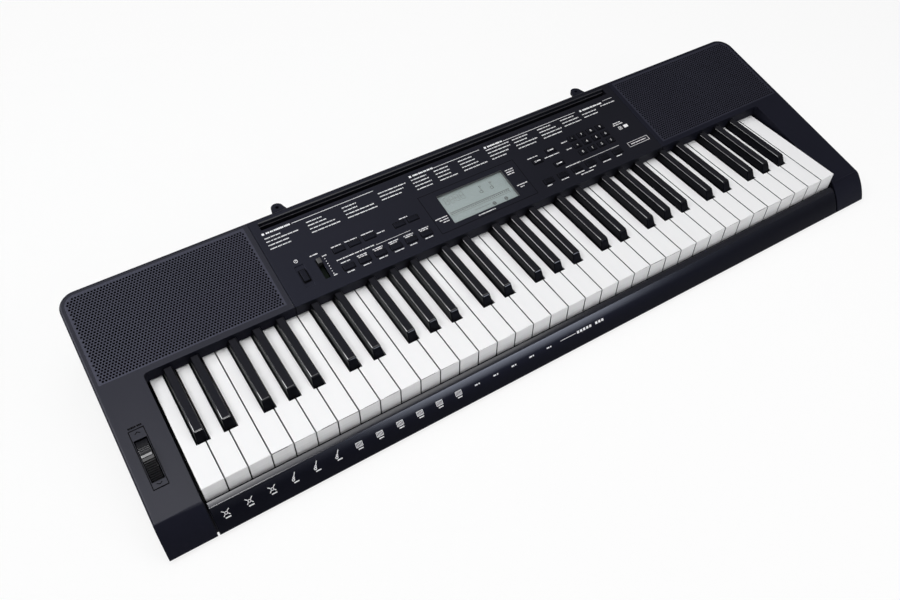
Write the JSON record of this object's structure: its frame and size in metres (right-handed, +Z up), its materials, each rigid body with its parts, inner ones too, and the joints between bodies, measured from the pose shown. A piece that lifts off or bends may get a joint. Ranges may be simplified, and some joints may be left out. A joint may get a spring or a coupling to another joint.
{
  "type": "arranger keyboard",
  "caption": "Portable arranger keyboard with full-size keys, LCD panel, speakers at both ends and a pitch wheel.",
  "frame": {"origin": "middle of the bounding box on the table", "axes": "+X along the keys from bass to treble, +Y from the player to the rear, +Z up"},
  "size_m": [0.946, 0.307, 0.092],
  "materials": {
    "case": "fine matte texture",
    "rail": "semi-gloss",
    "white_key": "gloss",
    "black_key": "satin",
    "button": "matte",
    "wheel": "satin",
    "inner_plastic": "matte",
    "socket_plastic": "matte",
    "window": "clear",
    "lcd": "satin",
    "circuit_board": "solder mask",
    "dome_rubber": "matte",
    "foot_rubber": "matte",
    "felt": "felt",
    "cone": "pressed paper",
    "magnet": "raw",
    "pressed_steel": "black paint",
    "steel": "plated",
    "contact_metal": "nickel plate"
  },
  "bodies": {
    "case": {"lower_case": "case", "left_end_cover": "case", "right_end_cover": "case", "control_panel": "case", "front_rail": "rail", "speaker_grilles": "case", "speaker_frames": "pressed_steel", "speaker_cones": "cone", "speaker_magnets": "magnet", "key_chassis": "inner_plastic", "key_pivot_rod": "steel", "key_contact_board": "circuit_board", "rubber_contacts": "dome_rubber", "key_stop_felts": "felt", "main_board": "circuit_board", "panel_board": "circuit_board", "lcd_module": "lcd", "lcd_window": "window", "audio_jacks": "socket_plastic", "dc_jack": "socket_plastic", "usb_socket": "pressed_steel", "battery_contacts": "contact_metal", "rubber_feet": "foot_rubber", "case_screws": "steel", "rear_lugs": "case", "pitch_wheel_holder": "inner_plastic"},
    "pitch_wheel": {"pitch_wheel": "wheel"},
    "volume_knob": {"volume_knob": "button"},
    "power_button": {"power_button": "button"},
    "battery_door": {"battery_door": "case"},
    "rear_row_buttons": {"rear_row_buttons": "button"},
    "rhythm_buttons": {"rhythm_buttons": "button"},
    "lesson_buttons": {"lesson_buttons": "button"},
    "mode_buttons": {"mode_buttons": "button"},
    "number_buttons": {"number_buttons": "button"},
    "middle_key_c": {"middle_key_c": "white_key"},
    "middle_key_c_sharp": {"middle_key_c_sharp": "black_key"},
    "middle_key_d": {"middle_key_d": "white_key"},
    "middle_key_d_sharp": {"middle_key_d_sharp": "black_key"},
    "middle_key_e": {"middle_key_e": "white_key"},
    "middle_key_f": {"middle_key_f": "white_key"},
    "middle_key_f_sharp": {"middle_key_f_sharp": "black_key"},
    "middle_key_g": {"middle_key_g": "white_key"},
    "middle_key_g_sharp": {"middle_key_g_sharp": "black_key"},
    "middle_key_a": {"middle_key_a": "white_key"},
    "middle_key_a_sharp": {"middle_key_a_sharp": "black_key"},
    "middle_key_b": {"middle_key_b": "white_key"},
    "octave_1_keys_cegb": {"octave_1_keys_cegb": "white_key"},
    "octave_1_keys_dfa": {"octave_1_keys_dfa": "white_key"},
    "octave_1_black_keys": {"octave_1_black_keys": "black_key"},
    "octave_2_keys_cegb": {"octave_2_keys_cegb": "white_key"},
    "octave_2_keys_dfa": {"octave_2_keys_dfa": "white_key"},
    "octave_2_black_keys": {"octave_2_black_keys": "black_key"},
    "octave_4_keys_cegb": {"octave_4_keys_cegb": "white_key"},
    "octave_4_keys_dfa": {"octave_4_keys_dfa": "white_key"},
    "octave_4_black_keys": {"octave_4_black_keys": "black_key"},
    "octave_5_keys_cegb": {"octave_5_keys_cegb": "white_key"},
    "octave_5_keys_dfa": {"octave_5_keys_dfa": "white_key"},
    "octave_5_black_keys": {"octave_5_black_keys": "black_key"},
    "top_key_c": {"top_key_c": "white_key"}
  },
  "joints": [
    {"name": "pitch_wheel_joint", "type": "hinge", "parent": "case", "child": "pitch_wheel", "pos_m": [-0.4524, -0.06673, 0.02804], "axis": [1, 0, 0], "range_deg": [-30, 30], "stiffness_Nm_per_rad": 0.1},
    {"name": "volume_knob_joint", "type": "slide", "parent": "case", "child": "volume_knob", "axis": [0, -0.9792, -0.2028], "range_m": [0, 0.0191]},
    {"name": "power_button_joint", "type": "slide", "parent": "case", "child": "power_button", "axis": [0, 0.2028, -0.9792], "range_m": [0, 0.001], "stiffness_N_per_m": 400, "springref_m": -0.003},
    {"name": "battery_door_joint", "type": "slide", "parent": "case", "child": "battery_door", "axis": [0, 1, 0], "range_m": [0, 0.055]},
    {"name": "rear_row_buttons_joint", "type": "slide", "parent": "case", "child": "rear_row_buttons", "axis": [0, 0.2028, -0.9792], "range_m": [0, 0.001], "stiffness_N_per_m": 1500, "springref_m": -0.003},
    {"name": "rhythm_buttons_joint", "type": "slide", "parent": "case", "child": "rhythm_buttons", "axis": [0, 0.2028, -0.9792], "range_m": [0, 0.001], "stiffness_N_per_m": 1800, "springref_m": -0.003},
    {"name": "lesson_buttons_joint", "type": "slide", "parent": "case", "child": "lesson_buttons", "axis": [0, 0.2028, -0.9792], "range_m": [0, 0.001], "stiffness_N_per_m": 1800, "springref_m": -0.003},
    {"name": "mode_buttons_joint", "type": "slide", "parent": "case", "child": "mode_buttons", "axis": [0, 0.2028, -0.9792], "range_m": [0, 0.001], "stiffness_N_per_m": 900, "springref_m": -0.003},
    {"name": "number_buttons_joint", "type": "slide", "parent": "case", "child": "number_buttons", "axis": [0, 0.2028, -0.9792], "range_m": [0, 0.001], "stiffness_N_per_m": 3600, "springref_m": -0.003},
    {"name": "middle_key_c_joint", "type": "hinge", "parent": "case", "child": "middle_key_c", "pos_m": [0, 0.038, 0.041], "axis": [1, 0, 0], "range_deg": [0, 3.43], "stiffness_Nm_per_rad": 1.2, "springref_deg": -2.86, "deforming": ["rubber_contacts"]},
    {"name": "middle_key_c_sharp_joint", "type": "hinge", "parent": "case", "child": "middle_key_c_sharp", "pos_m": [0, 0.038, 0.041], "axis": [1, 0, 0], "range_deg": [0, 4.35], "stiffness_Nm_per_rad": 1.2, "springref_deg": -2.86, "deforming": ["rubber_contacts"]},
    {"name": "middle_key_d_joint", "type": "hinge", "parent": "case", "child": "middle_key_d", "pos_m": [0, 0.038, 0.041], "axis": [1, 0, 0], "range_deg": [0, 3.43], "stiffness_Nm_per_rad": 1.2, "springref_deg": -2.86, "deforming": ["rubber_contacts"]},
    {"name": "middle_key_d_sharp_joint", "type": "hinge", "parent": "case", "child": "middle_key_d_sharp", "pos_m": [0, 0.038, 0.041], "axis": [1, 0, 0], "range_deg": [0, 4.35], "stiffness_Nm_per_rad": 1.2, "springref_deg": -2.86, "deforming": ["rubber_contacts"]},
    {"name": "middle_key_e_joint", "type": "hinge", "parent": "case", "child": "middle_key_e", "pos_m": [0, 0.038, 0.041], "axis": [1, 0, 0], "range_deg": [0, 3.43], "stiffness_Nm_per_rad": 1.2, "springref_deg": -2.86, "deforming": ["rubber_contacts"]},
    {"name": "middle_key_f_joint", "type": "hinge", "parent": "case", "child": "middle_key_f", "pos_m": [0, 0.038, 0.041], "axis": [1, 0, 0], "range_deg": [0, 3.43], "stiffness_Nm_per_rad": 1.2, "springref_deg": -2.86, "deforming": ["rubber_contacts"]},
    {"name": "middle_key_f_sharp_joint", "type": "hinge", "parent": "case", "child": "middle_key_f_sharp", "pos_m": [0, 0.038, 0.041], "axis": [1, 0, 0], "range_deg": [0, 4.35], "stiffness_Nm_per_rad": 1.2, "springref_deg": -2.86, "deforming": ["rubber_contacts"]},
    {"name": "middle_key_g_joint", "type": "hinge", "parent": "case", "child": "middle_key_g", "pos_m": [0, 0.038, 0.041], "axis": [1, 0, 0], "range_deg": [0, 3.43], "stiffness_Nm_per_rad": 1.2, "springref_deg": -2.86, "deforming": ["rubber_contacts"]},
    {"name": "middle_key_g_sharp_joint", "type": "hinge", "parent": "case", "child": "middle_key_g_sharp", "pos_m": [0, 0.038, 0.041], "axis": [1, 0, 0], "range_deg": [0, 4.35], "stiffness_Nm_per_rad": 1.2, "springref_deg": -2.86, "deforming": ["rubber_contacts"]},
    {"name": "middle_key_a_joint", "type": "hinge", "parent": "case", "child": "middle_key_a", "pos_m": [0, 0.038, 0.041], "axis": [1, 0, 0], "range_deg": [0, 3.43], "stiffness_Nm_per_rad": 1.2, "springref_deg": -2.86, "deforming": ["rubber_contacts"]},
    {"name": "middle_key_a_sharp_joint", "type": "hinge", "parent": "case", "child": "middle_key_a_sharp", "pos_m": [0, 0.038, 0.041], "axis": [1, 0, 0], "range_deg": [0, 4.35], "stiffness_Nm_per_rad": 1.2, "springref_deg": -2.86, "deforming": ["rubber_contacts"]},
    {"name": "middle_key_b_joint", "type": "hinge", "parent": "case", "child": "middle_key_b", "pos_m": [0, 0.038, 0.041], "axis": [1, 0, 0], "range_deg": [0, 3.43], "stiffness_Nm_per_rad": 1.2, "springref_deg": -2.86, "deforming": ["rubber_contacts"]},
    {"name": "octave_1_keys_cegb_joint", "type": "hinge", "parent": "case", "child": "octave_1_keys_cegb", "pos_m": [0, 0.038, 0.041], "axis": [1, 0, 0], "range_deg": [0, 3.43], "stiffness_Nm_per_rad": 4.8, "springref_deg": -2.86, "deforming": ["rubber_contacts"]},
    {"name": "octave_1_keys_dfa_joint", "type": "hinge", "parent": "case", "child": "octave_1_keys_dfa", "pos_m": [0, 0.038, 0.041], "axis": [1, 0, 0], "range_deg": [0, 3.43], "stiffness_Nm_per_rad": 3.6, "springref_deg": -2.86, "deforming": ["rubber_contacts"]},
    {"name": "octave_1_black_keys_joint", "type": "hinge", "parent": "case", "child": "octave_1_black_keys", "pos_m": [0, 0.038, 0.041], "axis": [1, 0, 0], "range_deg": [0, 4.35], "stiffness_Nm_per_rad": 6, "springref_deg": -2.86, "deforming": ["rubber_contacts"]},
    {"name": "octave_2_keys_cegb_joint", "type": "hinge", "parent": "case", "child": "octave_2_keys_cegb", "pos_m": [0, 0.038, 0.041], "axis": [1, 0, 0], "range_deg": [0, 3.43], "stiffness_Nm_per_rad": 4.8, "springref_deg": -2.86, "deforming": ["rubber_contacts"]},
    {"name": "octave_2_keys_dfa_joint", "type": "hinge", "parent": "case", "child": "octave_2_keys_dfa", "pos_m": [0, 0.038, 0.041], "axis": [1, 0, 0], "range_deg": [0, 3.43], "stiffness_Nm_per_rad": 3.6, "springref_deg": -2.86, "deforming": ["rubber_contacts"]},
    {"name": "octave_2_black_keys_joint", "type": "hinge", "parent": "case", "child": "octave_2_black_keys", "pos_m": [0, 0.038, 0.041], "axis": [1, 0, 0], "range_deg": [0, 4.35], "stiffness_Nm_per_rad": 6, "springref_deg": -2.86, "deforming": ["rubber_contacts"]},
    {"name": "octave_4_keys_cegb_joint", "type": "hinge", "parent": "case", "child": "octave_4_keys_cegb", "pos_m": [0, 0.038, 0.041], "axis": [1, 0, 0], "range_deg": [0, 3.43], "stiffness_Nm_per_rad": 4.8, "springref_deg": -2.86, "deforming": ["rubber_contacts"]},
    {"name": "octave_4_keys_dfa_joint", "type": "hinge", "parent": "case", "child": "octave_4_keys_dfa", "pos_m": [0, 0.038, 0.041], "axis": [1, 0, 0], "range_deg": [0, 3.43], "stiffness_Nm_per_rad": 3.6, "springref_deg": -2.86, "deforming": ["rubber_contacts"]},
    {"name": "octave_4_black_keys_joint", "type": "hinge", "parent": "case", "child": "octave_4_black_keys", "pos_m": [0, 0.038, 0.041], "axis": [1, 0, 0], "range_deg": [0, 4.35], "stiffness_Nm_per_rad": 6, "springref_deg": -2.86, "deforming": ["rubber_contacts"]},
    {"name": "octave_5_keys_cegb_joint", "type": "hinge", "parent": "case", "child": "octave_5_keys_cegb", "pos_m": [0, 0.038, 0.041], "axis": [1, 0, 0], "range_deg": [0, 3.43], "stiffness_Nm_per_rad": 4.8, "springref_deg": -2.86, "deforming": ["rubber_contacts"]},
    {"name": "octave_5_keys_dfa_joint", "type": "hinge", "parent": "case", "child": "octave_5_keys_dfa", "pos_m": [0, 0.038, 0.041], "axis": [1, 0, 0], "range_deg": [0, 3.43], "stiffness_Nm_per_rad": 3.6, "springref_deg": -2.86, "deforming": ["rubber_contacts"]},
    {"name": "octave_5_black_keys_joint", "type": "hinge", "parent": "case", "child": "octave_5_black_keys", "pos_m": [0, 0.038, 0.041], "axis": [1, 0, 0], "range_deg": [0, 4.35], "stiffness_Nm_per_rad": 6, "springref_deg": -2.86, "deforming": ["rubber_contacts"]},
    {"name": "top_key_c_joint", "type": "hinge", "parent": "case", "child": "top_key_c", "pos_m": [0, 0.038, 0.041], "axis": [1, 0, 0], "range_deg": [0, 3.43], "stiffness_Nm_per_rad": 1.2, "springref_deg": -2.86, "deforming": ["rubber_contacts"]}
  ]
}
